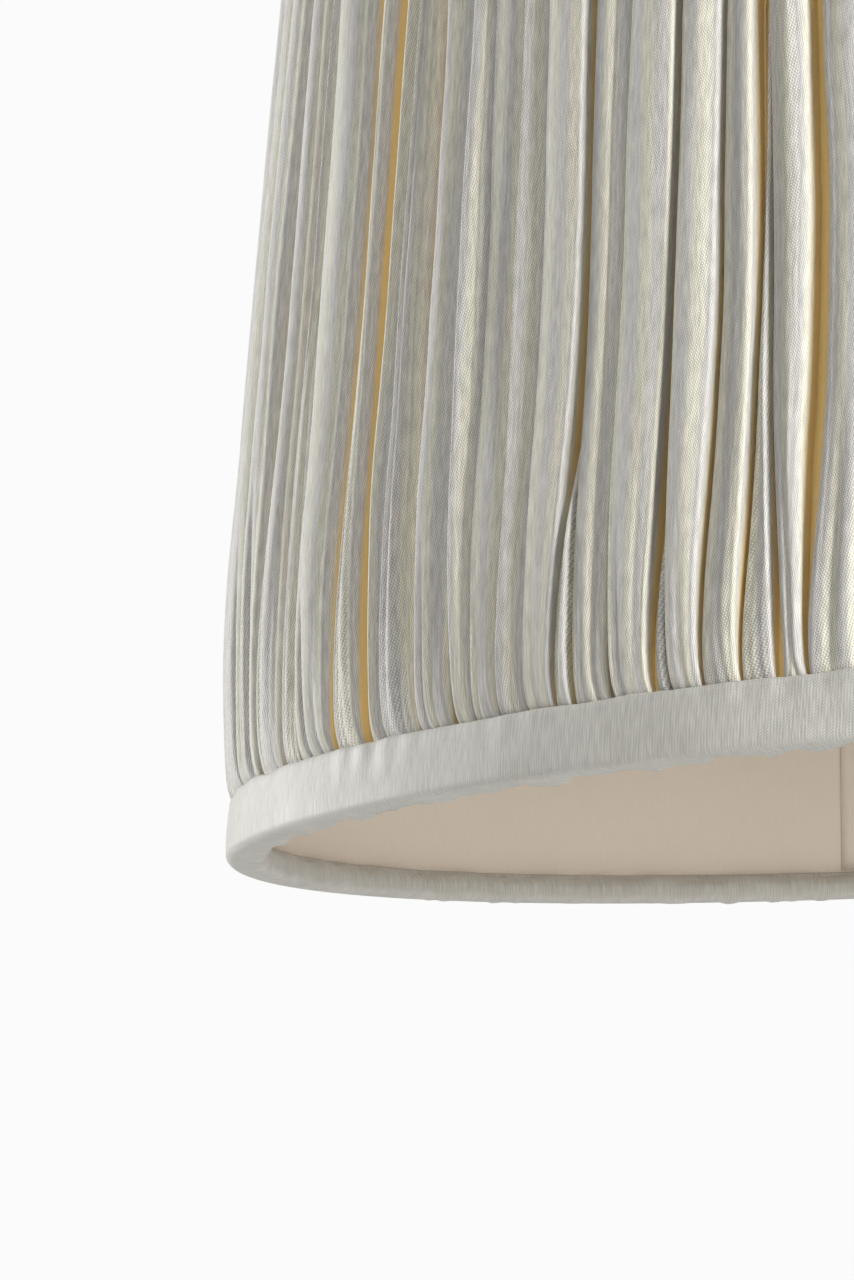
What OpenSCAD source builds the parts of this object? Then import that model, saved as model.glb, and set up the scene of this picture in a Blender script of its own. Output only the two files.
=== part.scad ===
// Gathered lamp shade: a tapered, hard-lined shade on two wire rings, covered with
// gathered cloth, bound at both edges, and carried by a spider with a tilting gimbal ring.
// The origin is the centre of the bottom rim, on the surface that the shade stands on.

/* [Shade] */
// Diameter of the wall's outer face at the bottom rim
bottom_d = 350; // [320:2:420]
// Diameter of the wall's outer face at the top rim
top_d = 284; // [230:2:300]
// Height over both bindings
height = 230; // [190:2:280]

/* [Cover] */
// How far the gathers stand proud of the bindings at mid height
puff = 3.5; // [1:0.1:6]
// Height over which the gathers swell out from a binding
puff_rise = 45; // [25:1:60]
// Free gap at each panel seam, in degrees
seam_gap = 0.05; // [0.02:0.01:0.2]

/* [Bindings] */
// Width of the binding on the outside of the shade
binding_h = 11.3; // [8:0.1:14]
// Thickness of the folded binding cloth
binding_t = 0.8; // [0.6:0.1:1]
// Radius at the lower corners of a binding
binding_round = 1.6; // [1:0.1:1.8]

/* [Frame] */
// Thickness of the rim wire and of the arms
wire_d = 3; // [2.5:0.1:3.2]
// How far the hub hangs below the top rim
hub_drop = 30; // [22:1:45]
// Inside radius of the hub ring
hub_r = 31.5; // [31.5:0.5:35]

/* [Fitting] */
// Radius of the lampholder hole in the reducer
lampholder_r = 14.5; // [14:0.1:15]
// Radius of the large hole in the gimbal ring
gimbal_hole_r = 21; // [21:0.1:21.4]
// Outside radius of the gimbal ring
gimbal_r = 27; // [26:0.1:27]

/* [Hidden] */

$fn = 96;

cover_tone = [0.74, 0.74, 0.69];
binding_tone = [0.73, 0.73, 0.70];
lining_tone = [0.75, 0.68, 0.60];
steel_tone = [0.80, 0.80, 0.79];
plastic_tone = [0.93, 0.92, 0.89];

// ---- the wall of the shade, in layers from the outside inwards ----
// u is the depth inside the outer face of the bindings, measured level.
slope = (bottom_d - top_d) / 2 / height;
glue = 0.05;                                  // thickness of a glue line
wire_r = wire_d / 2;
thread_r = 0.25;
gather_u = binding_t + 2 * thread_r + 2 * glue;   // pressed gathers, behind the thread
mouth_u = binding_t + glue;                   // gathers where they leave the binding
backing_t = 0.5;
lining_t = 0.4;
backing_u = gather_u + 1.3;
lining_u = backing_u + backing_t + glue;
inside_u = lining_u + lining_t;
ring_room = wire_r + 0.1;                     // radius of the space round a rim wire
ring_u = inside_u + ring_room;
ring_d = binding_t + ring_room;               // height of a rim wire above its edge
wrap_r = ring_room + binding_t;
layer_end = binding_t + 2 * glue;             // where the layers stop short of the binding
lip_d = ring_d + ring_room + 1.6;             // top of the binding's inner lip
lip_u = inside_u + glue;
round_steps = 5;

function wall_r(z) = bottom_d / 2 - slope * z;
// A point at depth u and height z, as [radius, height]
function face(u, z) = [wall_r(z) - u, z];
function arc(cx, cy, r, a0, a1, n) =
    [for (i = [0 : n]) let (a = a0 + (a1 - a0) * i / n) [cx + r * cos(a), cy + r * sin(a)]];

// ---- rim wires, arms and hub ----
hub_z = height - hub_drop;
hub_t = 1.6;
hub_half = 4;
arm_spacing = 120;
weld = 0.6;                                   // how far a welded end sinks in
arm_room = 0.25;                              // cloth cut clear of an arm

top_ring_point = face(ring_u, height - ring_d);
// An arm is one arc: level where it meets the hub, rising to the top ring.
arm_start = [hub_r + hub_t - weld, hub_z];
arm_run = top_ring_point - arm_start;
arm_bend = (arm_run[0] * arm_run[0] + arm_run[1] * arm_run[1]) / (2 * arm_run[1]);
arm_angle = asin(arm_run[0] / arm_bend);
arm_stop = arm_angle - (wire_r - weld) / arm_bend * 180 / PI;

module rim_wire(point) {
    rotate_extrude() translate(point) circle(r = wire_r, $fn = 48);
}

module bottom_ring() {
    color(steel_tone) rim_wire(face(ring_u, ring_d));
}

module top_ring() {
    color(steel_tone) rim_wire(top_ring_point);
}

module arm() {
    translate([arm_start[0], 0, hub_z + arm_bend]) rotate([90, 0, 0])
        rotate_extrude(angle = arm_stop, start = 270)
            translate([arm_bend, 0]) circle(r = wire_r, $fn = 48);
}

// The room that the top binding leaves where an arm comes off the ring
module arm_notch() {
    translate([top_ring_point[0], 0, top_ring_point[1]]) rotate([0, 270 - arm_angle, 0])
        cylinder(r = wire_r + arm_room, h = 4 * wire_r, $fn = 48);
}

module spider_arm(i) {
    color(steel_tone) rotate([0, 0, 90 + arm_spacing * i]) arm();
}

module hub_ring() {
    color(steel_tone) difference() {
        translate([0, 0, hub_z - hub_half]) cylinder(r = hub_r + hub_t, h = 2 * hub_half);
        translate([0, 0, hub_z - hub_half - 1]) cylinder(r = hub_r, h = 2 * hub_half + 2);
        pivot_hole(hub_r + hub_t + 1);
    }
}

// ---- gimbal: a pressed ring with two ears that turn on rivets ----
pivot_r = 1.5;
pivot_room = 0.05;
ear_t = 1.5;
ear_x = hub_r - 1 - ear_t;                    // inner face of an ear
ear_r = 4.5;
ear_foot = 3.5;                               // half width of an ear's foot
plate_t = 1.5;
plate_top = hub_z - 3.5;
washer_r = 3.5;
washer_t = 0.6;
rivet_head_r = 2.8;
rivet_head_h = 1.4;
reducer_r = 20.85;
reducer_flange_r = 23.5;
reducer_flange_t = 1.4;
reducer_depth = 3.6;                          // how far the reducer reaches below its flange
reducer_wall = 1.5;
reducer_ribs = 6;

// A bore on the pivot axis that reaches half_length each way
module pivot_hole(half_length) {
    translate([-half_length, 0, hub_z]) rotate([0, 90, 0])
        cylinder(r = pivot_r + pivot_room, h = 2 * half_length, $fn = 48);
}

module ear() {
    translate([ear_x, 0, hub_z]) rotate([90, 0, 90]) linear_extrude(ear_t) union() {
        circle(r = ear_r, $fn = 48);
        translate([-ear_foot, plate_top - plate_t - hub_z])
            square([2 * ear_foot, hub_z - plate_top + plate_t]);
    }
    translate([0, -ear_foot, plate_top - plate_t]) cube([ear_x + ear_t, 2 * ear_foot, plate_t]);
}

module gimbal_ring() {
    color(steel_tone) difference() {
        union() {
            translate([0, 0, plate_top - plate_t]) cylinder(r = gimbal_r, h = plate_t);
            ear();
            mirror([1, 0, 0]) ear();
        }
        translate([0, 0, plate_top - plate_t - 1]) cylinder(r = gimbal_hole_r, h = plate_t + 2);
        pivot_hole(hub_r);
    }
}

// A domed head that stands on its flat face
module rivet_head() {
    dome_r = (rivet_head_r * rivet_head_r + rivet_head_h * rivet_head_h) / (2 * rivet_head_h);
    intersection() {
        cylinder(r = rivet_head_r, h = rivet_head_h, $fn = 48);
        translate([0, 0, rivet_head_h - dome_r]) sphere(r = dome_r, $fn = 48);
    }
}

module pivot_rivet() {
    inner = ear_x - glue;
    outer = hub_r + hub_t + glue;
    color(steel_tone) translate([0, 0, hub_z]) rotate([0, 90, 0]) {
        translate([0, 0, inner]) cylinder(r = pivot_r, h = outer - inner, $fn = 48);
        translate([0, 0, outer]) rivet_head();
        translate([0, 0, inner]) mirror([0, 0, 1]) rivet_head();
    }
}

module spring_washer() {
    color(steel_tone) translate([ear_x + ear_t + glue, 0, hub_z]) rotate([0, 90, 0]) difference() {
        cylinder(r = washer_r, h = washer_t, $fn = 48);
        translate([0, 0, -1]) cylinder(r = pivot_r + pivot_room, h = washer_t + 2, $fn = 48);
    }
}

module reducer_ring() {
    flange_z = plate_top + glue;
    color(plastic_tone) union() {
        rotate_extrude() translate([0, flange_z]) polygon([
            [lampholder_r, -reducer_depth],
            [lampholder_r + reducer_wall, -reducer_depth],
            [lampholder_r + reducer_wall, -reducer_wall / 2],
            [reducer_r - reducer_wall, -reducer_wall / 2],
            [reducer_r - reducer_wall, -reducer_depth],
            [reducer_r, -reducer_depth],
            [reducer_r, 0],
            [reducer_flange_r, 0],
            [reducer_flange_r, reducer_flange_t],
            [lampholder_r, reducer_flange_t]]);
        for (i = [0 : reducer_ribs - 1]) rotate([0, 0, 360 * (i + 0.5) / reducer_ribs])
            translate([lampholder_r + reducer_wall / 2, -reducer_wall / 2, flange_z - reducer_depth])
                cube([reducer_r - lampholder_r - reducer_wall, reducer_wall, reducer_depth]);
    }
}

// ---- backing sheet and lining: one rolled cone with a lapped seam ----
lap_width = 12;
lap_angle = lap_width / wall_r(height / 2) * 180 / PI;
lap_turn = 110.5;                               // where the seam stands, from +X
lap_end = lip_d + 0.3;

module cone_shell(u0, u1, z0, z1, start = 0, angle = 360) {
    rotate_extrude(angle = angle, start = start)
        polygon([face(u0, z0), face(u1, z0), face(u1, z1), face(u0, z1)]);
}

module backing_sheet() {
    color("white") cone_shell(backing_u, backing_u + backing_t, layer_end, height - layer_end);
}

module lining_fabric() {
    color(lining_tone) union() {
        cone_shell(lining_u, inside_u, layer_end, height - layer_end);
        cone_shell(inside_u - lining_t / 2, inside_u + lining_t, lap_end, height - lap_end,
            lap_turn, lap_angle);
    }
}

// ---- gathered cover ----
puff_start = 0.3;
puff_steps = 9;
thread_d = 7;                                 // height of a gathering thread above its edge
thread_bed = thread_d + 1.8;                  // where the gathers open above the thread
panel_turn = 90;                              // four panels make the cover

// How far the gathers stand proud at distance d beyond a binding's edge
function proud(d) =
    let (s = 1 - min(d, puff_rise) / puff_rise) puff_start + (puff - puff_start) * (1 - s * s);

// One end of a panel's outline, as [depth, distance from the rim]
panel_end = concat(
    [[backing_u - glue, layer_end], [gather_u, layer_end], [gather_u, thread_bed],
        [mouth_u, thread_bed + gather_u - mouth_u], [mouth_u, binding_h]],
    [for (i = [0 : puff_steps]) let (d = 0.4 + puff_rise * i / puff_steps)
        [-proud(d), binding_h + d]]);

module cover_panel(i) {
    last = len(panel_end) - 1;
    color(cover_tone)
        rotate_extrude(angle = panel_turn - seam_gap, start = panel_turn * i)
            polygon(concat(
                [for (p = panel_end) face(p[0], p[1])],
                [for (k = [0 : last]) let (p = panel_end[last - k]) face(p[0], height - p[1])]));
}

module gathering_thread(z) {
    color("white") rotate_extrude()
        translate(face(binding_t + glue + thread_r, z)) circle(r = thread_r, $fn = 16);
}

// ---- bindings: a folded strip from the outside, under the rim and over the wire ----
wrap_u = ring_u + wrap_r;

// An arc round the rim wire. The wall leans, so depths shift by lean for each mm of distance.
function round_wire(r, a0, a1, n, lean) =
    [for (p = arc(ring_u, ring_d, r, a0, a1, n)) [p[0] + lean * (p[1] - ring_d), p[1]]];

// The binding's outline, as [depth, distance from the rim]
function binding_outline(lean) = concat(
    [[binding_t, binding_h], [0, binding_h - 0.2]],
    arc(binding_round, binding_round, binding_round, 180, 270, round_steps),
    arc(wrap_u - binding_round, binding_round, binding_round, 270, 350, round_steps),
    round_wire(wrap_r, 5, 100, 2 * round_steps, lean),
    [[lip_u + 0.5, lip_d], [lip_u, lip_d], [lip_u, ring_d + ring_room]],
    round_wire(ring_room, 100, -90, 3 * round_steps, lean),
    [[binding_t, binding_t]]);

module bottom_binding() {
    color(binding_tone) rotate_extrude()
        polygon([for (p = binding_outline(-slope)) face(p[0], p[1])]);
}

module top_binding() {
    color(binding_tone) difference() {
        rotate_extrude() polygon([for (p = binding_outline(slope)) face(p[0], height - p[1])]);
        for (i = [0 : 2]) rotate([0, 0, 90 + arm_spacing * i]) arm_notch();
    }
}

bottom_ring();
top_ring();
spider_arm(0);  // spider_arm_1
spider_arm(1);  // spider_arm_2
spider_arm(2);  // spider_arm_3
hub_ring();
gimbal_ring();
mirror([1, 0, 0]) pivot_rivet();  // pivot_rivet_left
pivot_rivet();  // pivot_rivet_right
mirror([1, 0, 0]) spring_washer();  // spring_washer_left
spring_washer();  // spring_washer_right
reducer_ring();
backing_sheet();
lining_fabric();
cover_panel(0);  // cover_panel_back_right
cover_panel(1);  // cover_panel_back_left
cover_panel(2);  // cover_panel_front_left
cover_panel(3);  // cover_panel_front_right
gathering_thread(thread_d);  // gathering_thread_bottom
gathering_thread(height - thread_d);  // gathering_thread_top
bottom_binding();
top_binding();
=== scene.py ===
# %% [markdown]
# # A gathered lamp shade
#
# The frame holds everything with a fixed size: wires, spider, gimbal, rings of binding, and the
# cone of the wall. This script dresses that frame in cloth. Each step first says what the piece
# is on a real shade, how it could be made, and why it is made this way here.

import math

import bmesh
import bpy
import numpy as np
from mathutils import Matrix, Vector


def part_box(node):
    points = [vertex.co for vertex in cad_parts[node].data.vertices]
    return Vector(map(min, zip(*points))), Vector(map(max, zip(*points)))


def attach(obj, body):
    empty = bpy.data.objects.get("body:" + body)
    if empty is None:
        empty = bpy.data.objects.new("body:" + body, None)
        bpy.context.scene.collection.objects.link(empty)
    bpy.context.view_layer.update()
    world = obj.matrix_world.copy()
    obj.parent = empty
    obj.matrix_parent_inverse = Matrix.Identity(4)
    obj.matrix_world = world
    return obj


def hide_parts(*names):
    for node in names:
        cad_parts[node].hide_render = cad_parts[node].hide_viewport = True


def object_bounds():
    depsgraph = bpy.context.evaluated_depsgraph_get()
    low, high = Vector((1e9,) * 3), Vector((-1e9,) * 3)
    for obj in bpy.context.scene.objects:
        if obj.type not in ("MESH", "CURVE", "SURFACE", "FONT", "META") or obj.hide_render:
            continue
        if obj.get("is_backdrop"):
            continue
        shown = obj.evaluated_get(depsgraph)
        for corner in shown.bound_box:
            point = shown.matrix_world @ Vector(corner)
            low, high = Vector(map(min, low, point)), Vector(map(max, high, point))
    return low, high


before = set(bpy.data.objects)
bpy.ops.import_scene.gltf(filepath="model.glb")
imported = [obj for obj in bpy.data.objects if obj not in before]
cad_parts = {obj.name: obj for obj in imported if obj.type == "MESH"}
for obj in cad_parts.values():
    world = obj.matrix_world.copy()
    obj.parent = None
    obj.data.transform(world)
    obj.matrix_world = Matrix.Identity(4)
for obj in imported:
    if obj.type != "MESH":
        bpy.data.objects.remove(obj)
cad_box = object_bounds()
MM = 0.001
print(len(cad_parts), "pieces in the frame,", "box", [round(v, 4) for v in cad_box[1] - cad_box[0]])

# %% [markdown]
# ## Camera
#
# The shade is looked at from a metre away, from a little below its bottom rim, so that both the
# gathers and a strip of the lining show. A long lens from that distance keeps the folds nearly
# parallel. The camera's turn is given as three angles: first its heading, then its pitch, then a
# small roll. Its place, its angles and its lens are rounded results of a fit.

# %% Camera
CAMERA_AT = Vector((0, -1.016, -0.0886))
HEADING, PITCH, ROLL = math.radians(7.68), math.radians(7.26), math.radians(-3.25)
LENS = 154.7


def aimed_axes(heading, pitch, roll):
    """The camera's own axes (right, up, back) for a heading, a pitch and a roll."""
    reach = math.cos(pitch)
    forward = Vector((-math.sin(heading) * reach, math.cos(heading) * reach, math.sin(pitch)))
    level = Vector((math.cos(heading), math.sin(heading), 0))
    above = level.cross(forward)
    right = math.cos(roll) * level + math.sin(roll) * above
    up = math.cos(roll) * above - math.sin(roll) * level
    return right, up, -forward


camera = bpy.data.objects.new("camera", bpy.data.cameras.new("camera"))
bpy.context.scene.collection.objects.link(camera)
camera.data.lens = LENS
camera.data.clip_start = 0.05
turned = Matrix(aimed_axes(HEADING, PITCH, ROLL)).transposed().to_4x4()
camera.matrix_world = Matrix.Translation(CAMERA_AT) @ turned
bpy.context.scene.camera = camera
print("camera", [round(v, 3) for v in CAMERA_AT], "lens", LENS)

# %% [markdown]
# ## Studio
#
# A white surround and four soft lamps. Cloth that is gathered in narrow folds shows its shape only
# when light grazes it, so the two strong lamps stand behind the left limb of the shade and at the
# front right. The tops of the folds between them stay a middle tone and their rolled edges catch the
# light. A weaker lamp in front keeps those tops from going dull, and a faint one below lights the
# lining. The surround is brighter to the camera than to the cloth, or it would fill every valley.

# %% Studio
scene = bpy.context.scene
scene.view_settings.view_transform = "Standard"
WHITE_SEEN = 0.965
WHITE_LIT = 0.16
LAMPS_AIM = Vector((0, 0, 0.1))
WARM_WHITE = (1.0, 0.985, 0.96)


def build_surround():
    """A world that the camera sees nearly white and that lights the cloth more gently."""
    world = bpy.data.worlds.new("white surround")
    world.use_nodes = True
    scene.world = world
    nodes, links = world.node_tree.nodes, world.node_tree.links
    nodes.clear()
    lit, seen = nodes.new("ShaderNodeBackground"), nodes.new("ShaderNodeBackground")
    lit.inputs["Color"].default_value = (*WARM_WHITE, 1)
    lit.inputs["Strength"].default_value = WHITE_LIT
    seen.inputs["Color"].default_value = (1, 1, 1, 1)
    seen.inputs["Strength"].default_value = WHITE_SEEN
    path, mix = nodes.new("ShaderNodeLightPath"), nodes.new("ShaderNodeMixShader")
    out = nodes.new("ShaderNodeOutputWorld")
    links.new(path.outputs["Is Camera Ray"], mix.inputs["Fac"])
    links.new(lit.outputs[0], mix.inputs[1])
    links.new(seen.outputs[0], mix.inputs[2])
    links.new(mix.outputs[0], out.inputs["Surface"])


def soft_lamp(name, turn, height, distance, width, tall, power, tint):
    """An area lamp that stands at an angle from +X round the shade and faces its middle."""
    lamp = bpy.data.lights.new(name, "AREA")
    lamp.shape, lamp.size, lamp.size_y = "RECTANGLE", width, tall
    lamp.energy, lamp.color = power, tint
    stand = bpy.data.objects.new(name, lamp)
    scene.collection.objects.link(stand)
    angle = math.radians(turn)
    stand.location = (distance * math.cos(angle), distance * math.sin(angle), height)
    aim = LAMPS_AIM - stand.location
    stand.rotation_mode = "QUATERNION"
    stand.rotation_quaternion = aim.to_track_quat("-Z", "Y")
    stand.visible_camera = False
    print(name, "at", [round(v, 2) for v in stand.location], power, "W")


build_surround()
soft_lamp("lamp behind left", 156, 0.35, 1.7, 0.5, 1.2, 27, (1.0, 0.995, 0.98))
soft_lamp("lamp front right", 315, 0.35, 1.9, 0.6, 1.2, 40, WARM_WHITE)
soft_lamp("lamp front", 266, 0.9, 2.0, 0.9, 0.8, 11, WARM_WHITE)
soft_lamp("lamp below", 270, -0.58, 0.02, 0.55, 0.55, 0.4, WARM_WHITE)

# %% [markdown]
# ## Node helpers
#
# Every finish below is a small shader tree. Two helpers keep them short: one places a node and
# sets or links its inputs in one call, the other starts a node group, which is how an effect that
# several finishes share is built once.

# %% Node helpers


def put(tree, kind, out=0, settings=None, **inputs):
    """Adds a node, sets its settings, then sets or links each input, and returns one output."""
    node = tree.nodes.new(kind)
    for key, value in (settings or {}).items():
        setattr(node, key, value)
    for key, value in inputs.items():
        socket = node.inputs[int(key[1:])] if key[0] == "_" else node.inputs[key.replace("_", " ")]
        if isinstance(value, bpy.types.NodeSocket):
            tree.links.new(value, socket)
        else:
            socket.default_value = value
    return node.outputs[out]


def maths(tree, operation, a, b=0.0, c=0.0):
    """One Math node."""
    return put(tree, "ShaderNodeMath", settings={"operation": operation}, _0=a, _1=b, _2=c)


def blend_colours(tree, share, a, b):
    """A colour between a and b."""
    return put(tree, "ShaderNodeMix", 2, {"data_type": "RGBA"}, _0=share, _6=a, _7=b)


def ramp(tree, value, low, high, to_low=0.0, to_high=1.0):
    """A smooth step from to_low to to_high as value goes from low to high."""
    return put(tree, "ShaderNodeMapRange", settings={"interpolation_type": "SMOOTHSTEP"},
               Value=value, From_Min=low, From_Max=high, To_Min=to_low, To_Max=to_high)


def new_group(name, inputs, outputs):
    """A shader node group with named inputs (name, kind, default) and outputs (name, kind)."""
    tree = bpy.data.node_groups.new(name, "ShaderNodeTree")
    for title, kind, default in inputs:
        socket = tree.interface.new_socket(title, in_out="INPUT", socket_type="NodeSocket" + kind)
        if default is not None:
            socket.default_value = default
    for title, kind in outputs:
        tree.interface.new_socket(title, in_out="OUTPUT", socket_type="NodeSocket" + kind)
    return tree, tree.nodes.new("NodeGroupInput").outputs, tree.nodes.new("NodeGroupOutput").inputs


def use_group(tree, group, **inputs):
    """Places a node group in a material and returns its outputs."""
    first = put(tree, "ShaderNodeGroup", 0, {"node_tree": group}, **inputs)
    return first.node.outputs


def feed(shader, **values):
    """Links values to a shader's inputs."""
    for title, value in values.items():
        shader.id_data.links.new(value, shader.inputs[title.replace("_", " ")])


def scale_by(tree, vector, factors):
    """A vector with each part multiplied by its factor."""
    return put(tree, "ShaderNodeVectorMath", settings={"operation": "MULTIPLY"}, _0=vector, _1=factors)


def divide_by(tree, vector, size):
    """A vector divided by a length, so that size becomes 1."""
    return put(tree, "ShaderNodeVectorMath", settings={"operation": "SCALE"},
               Vector=vector, Scale=maths(tree, "DIVIDE", 1.0, size))


def finish_shader(name, tint):
    """A new material with a Principled shader, its tree, and the shader node."""
    material = bpy.data.materials.new(name)
    material.use_nodes = True
    material.diffuse_color = (*tint, 1)
    shader = material.node_tree.nodes["Principled BSDF"]
    shader.inputs["Base Color"].default_value = (*tint, 1)
    return material, material.node_tree, shader


print("helpers ready")

# %% [markdown]
# ## Cloth effects
#
# *Weave* is a fine twill: threads cross at a slant, and each one is a little ridge. It is made from
# two sine waves across the cloth's own coordinates, because a woven pattern is exactly regular, and
# a slow noise that makes some threads thicker. *Clouds* is a slow variation, for dye and handling.
# Both give plain values, so a finish decides what they change. The three cloths then show their
# threads in the same way: painted shade between the threads and a painted highlight along them, and a
# bump that raises them.

# %% Cloth effects


def build_weave():
    tree, given, gives = new_group(
        "weave",
        [("Cloth", "Vector", None), ("Pitch", "Float", 0.4 * MM), ("Slant", "Float", 0.6),
         ("Slub", "Float", 0.5)],
        [("Height", "Float")])
    part = put(tree, "ShaderNodeSeparateXYZ", Vector=given["Cloth"]).node.outputs
    turns = maths(tree, "DIVIDE", 2 * math.pi, given["Pitch"])
    across = maths(tree, "MULTIPLY", part["X"], turns)
    along = maths(tree, "MULTIPLY", part["Y"], turns)
    sloping = maths(tree, "MULTIPLY", along, given["Slant"])
    ribs = maths(tree, "SINE", maths(tree, "ADD", across, sloping))
    picks = maths(tree, "SINE", maths(tree, "SUBTRACT", along, maths(tree, "MULTIPLY", across, 0.35)))
    slubs = put(tree, "ShaderNodeTexNoise", settings={"noise_dimensions": "2D"},
                Vector=scale_by(tree, given["Cloth"], (2600, 260, 1)), Scale=1.0, Detail=2.0)
    uneven = maths(tree, "MULTIPLY", maths(tree, "SUBTRACT", slubs, 0.5), given["Slub"])
    crossing = maths(tree, "MULTIPLY", ribs, picks)
    both = maths(tree, "ADD", maths(tree, "MULTIPLY", ribs, 0.15), maths(tree, "MULTIPLY", crossing, 0.35))
    height = maths(tree, "ADD", maths(tree, "ADD", both, 0.5), uneven)
    tree.links.new(height, gives["Height"])
    return tree


def build_clouds():
    tree, given, gives = new_group(
        "clouds", [("Cloth", "Vector", None), ("Size", "Float", 0.02)], [("Value", "Float")])
    scaled = divide_by(tree, given["Cloth"], given["Size"])
    noise = put(tree, "ShaderNodeTexNoise", Vector=scaled, Scale=1.0, Detail=3.0, Roughness=0.55)
    tree.links.new(ramp(tree, noise, 0.3, 0.7), gives["Value"])
    return tree


WEAVE = build_weave()
CLOUDS = build_clouds()


def show_threads(tree, shader, tone, height, shade, strength, raised):
    """Paints shade into a tone between the threads and a highlight along them, and raises them with a bump;
    shade is (low, high, dark, light).
    """
    # Painted shade between the threads and painted highlight along them: the tone is multiplied by a ramp of
    # the thread height.
    painted_thread_shade = ramp(tree, height, *shade)
    grey = put(tree, "ShaderNodeCombineColor", Red=painted_thread_shade, Green=painted_thread_shade, Blue=painted_thread_shade)
    thread_shaded_tone = put(tree, "ShaderNodeMix", 2, {"data_type": "RGBA", "blend_type": "MULTIPLY"},
                _0=1.0, _6=tone, _7=grey)
    feed(shader, Normal=put(tree, "ShaderNodeBump", Strength=strength, Distance=raised, Height=height))
    return thread_shaded_tone


print("cloth effects:", WEAVE.name, "and", CLOUDS.name)

# %% [markdown]
# ## Cover cloth
#
# The cover is a satin-striped silk and linen cloth in two tones, a cool lilac grey and a warm sage
# cream, in stripes about 2 mm wide that run up the folds. Shade and light between the folds are
# painted into the colour: deep in a closed valley the cloth is painted olive, as painted shade, and
# in a valley that glows it is painted amber, as painted glow that stands for light that has passed
# through several layers. The stripes and the weave follow the cloth's own coordinates, and these two
# painted tones follow how deep a point lies and how much painted glow its valley has, which the mesh
# stores.

# %% Cover cloth finish
LILAC = (0.620, 0.607, 0.590, 1)
SAGE = (0.715, 0.698, 0.600, 1)
PAINTED_GLOW_AMBER = (0.850, 0.630, 0.250, 1)
PAINTED_SHADE_OLIVE = (0.340, 0.310, 0.205, 1)
FADED = (0.700, 0.690, 0.650, 1)
STRIPE_PERIOD = 4.4 * MM


def build_cover_cloth():
    material, tree, shader = finish_shader("cover cloth", SAGE[:3])
    cloth = put(tree, "ShaderNodeUVMap", settings={"uv_map": "cloth"})
    part = put(tree, "ShaderNodeSeparateXYZ", Vector=cloth).node.outputs
    wander = put(tree, "ShaderNodeTexNoise", settings={"noise_dimensions": "2D"},
                 Vector=scale_by(tree, cloth, (150, 6, 1)), Scale=1.0, Detail=1.0)
    turn = maths(tree, "MULTIPLY", part["X"], 2 * math.pi / STRIPE_PERIOD)
    wave = maths(tree, "SINE", maths(tree, "ADD", turn, maths(tree, "MULTIPLY", wander, 5.0)))
    stripe = ramp(tree, wave, -0.45, 0.45)
    weave = use_group(tree, WEAVE, Cloth=cloth, Pitch=0.44 * MM, Slant=0.7, Slub=0.6)
    clouds = use_group(tree, CLOUDS, Cloth=cloth, Size=0.03)["Value"]
    two_tone = blend_colours(tree, stripe, LILAC, SAGE)
    faded = blend_colours(tree, maths(tree, "MULTIPLY", clouds, 0.12), two_tone, FADED)
    # Painted shade between the threads and painted highlight along them.
    thread_shaded_tone = show_threads(tree, shader, faded, weave["Height"], (0.18, 0.82, 0.62, 1.27), 0.5, 0.16 * MM)
    # Painted shade and painted glow: deep in a valley the colour is blended towards olive as painted shade,
    # and towards amber as painted glow where the valley's glow is high.
    depth = put(tree, "ShaderNodeAttribute", 2, {"attribute_name": "depth"})
    painted_glow = put(tree, "ShaderNodeAttribute", 2, {"attribute_name": "painted_glow"})
    painted_valley_tone = blend_colours(tree, ramp(tree, painted_glow, 0.15, 0.85), PAINTED_SHADE_OLIVE, PAINTED_GLOW_AMBER)
    reach = maths(tree, "MULTIPLY", depth, maths(tree, "MULTIPLY_ADD", painted_glow, 0.35, 0.85))
    share = maths(tree, "MULTIPLY", ramp(tree, reach, 0.46, 0.84), 0.95)
    feed(shader, Base_Color=blend_colours(tree, share, thread_shaded_tone, painted_valley_tone),
         Roughness=ramp(tree, stripe, 0.0, 1.0, 0.55, 0.64))
    shader.inputs["Specular IOR Level"].default_value = 0.3
    shader.inputs["Sheen Weight"].default_value = 0.25
    shader.inputs["Sheen Roughness"].default_value = 0.4
    return material


COVER_CLOTH = build_cover_cloth()
print("finish:", COVER_CLOTH.name)

# %% [markdown]
# ## The wall, read from the frame
#
# Everything soft is placed against the wall of the cone. The two rim wires fix that cone: their
# centres lie a known depth inside its outer face, so the face's radius at any height follows from
# the wires' boxes.

# %% The wall
WIRE_DEPTH = 5.25 * MM
BAND = 11.3 * MM


def wire_ring(node):
    """(radius of the wire's centre line, its height, the wire's own radius)."""
    low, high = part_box(node)
    thick = (high.z - low.z) / 2
    return high.x - thick, (high.z + low.z) / 2, thick


LOW_RING, HIGH_RING = wire_ring("bottom_ring"), wire_ring("top_ring")
SLOPE = (LOW_RING[0] - HIGH_RING[0]) / (HIGH_RING[1] - LOW_RING[1])
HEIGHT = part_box("top_binding")[1].z


def wall(z):
    """Radius of the outer face of the bindings at height z."""
    return LOW_RING[0] + WIRE_DEPTH - SLOPE * (z - LOW_RING[1])


print("wall radius", round(wall(0), 4), "to", round(wall(HEIGHT), 4), "over", round(HEIGHT, 4), "m")
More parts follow.
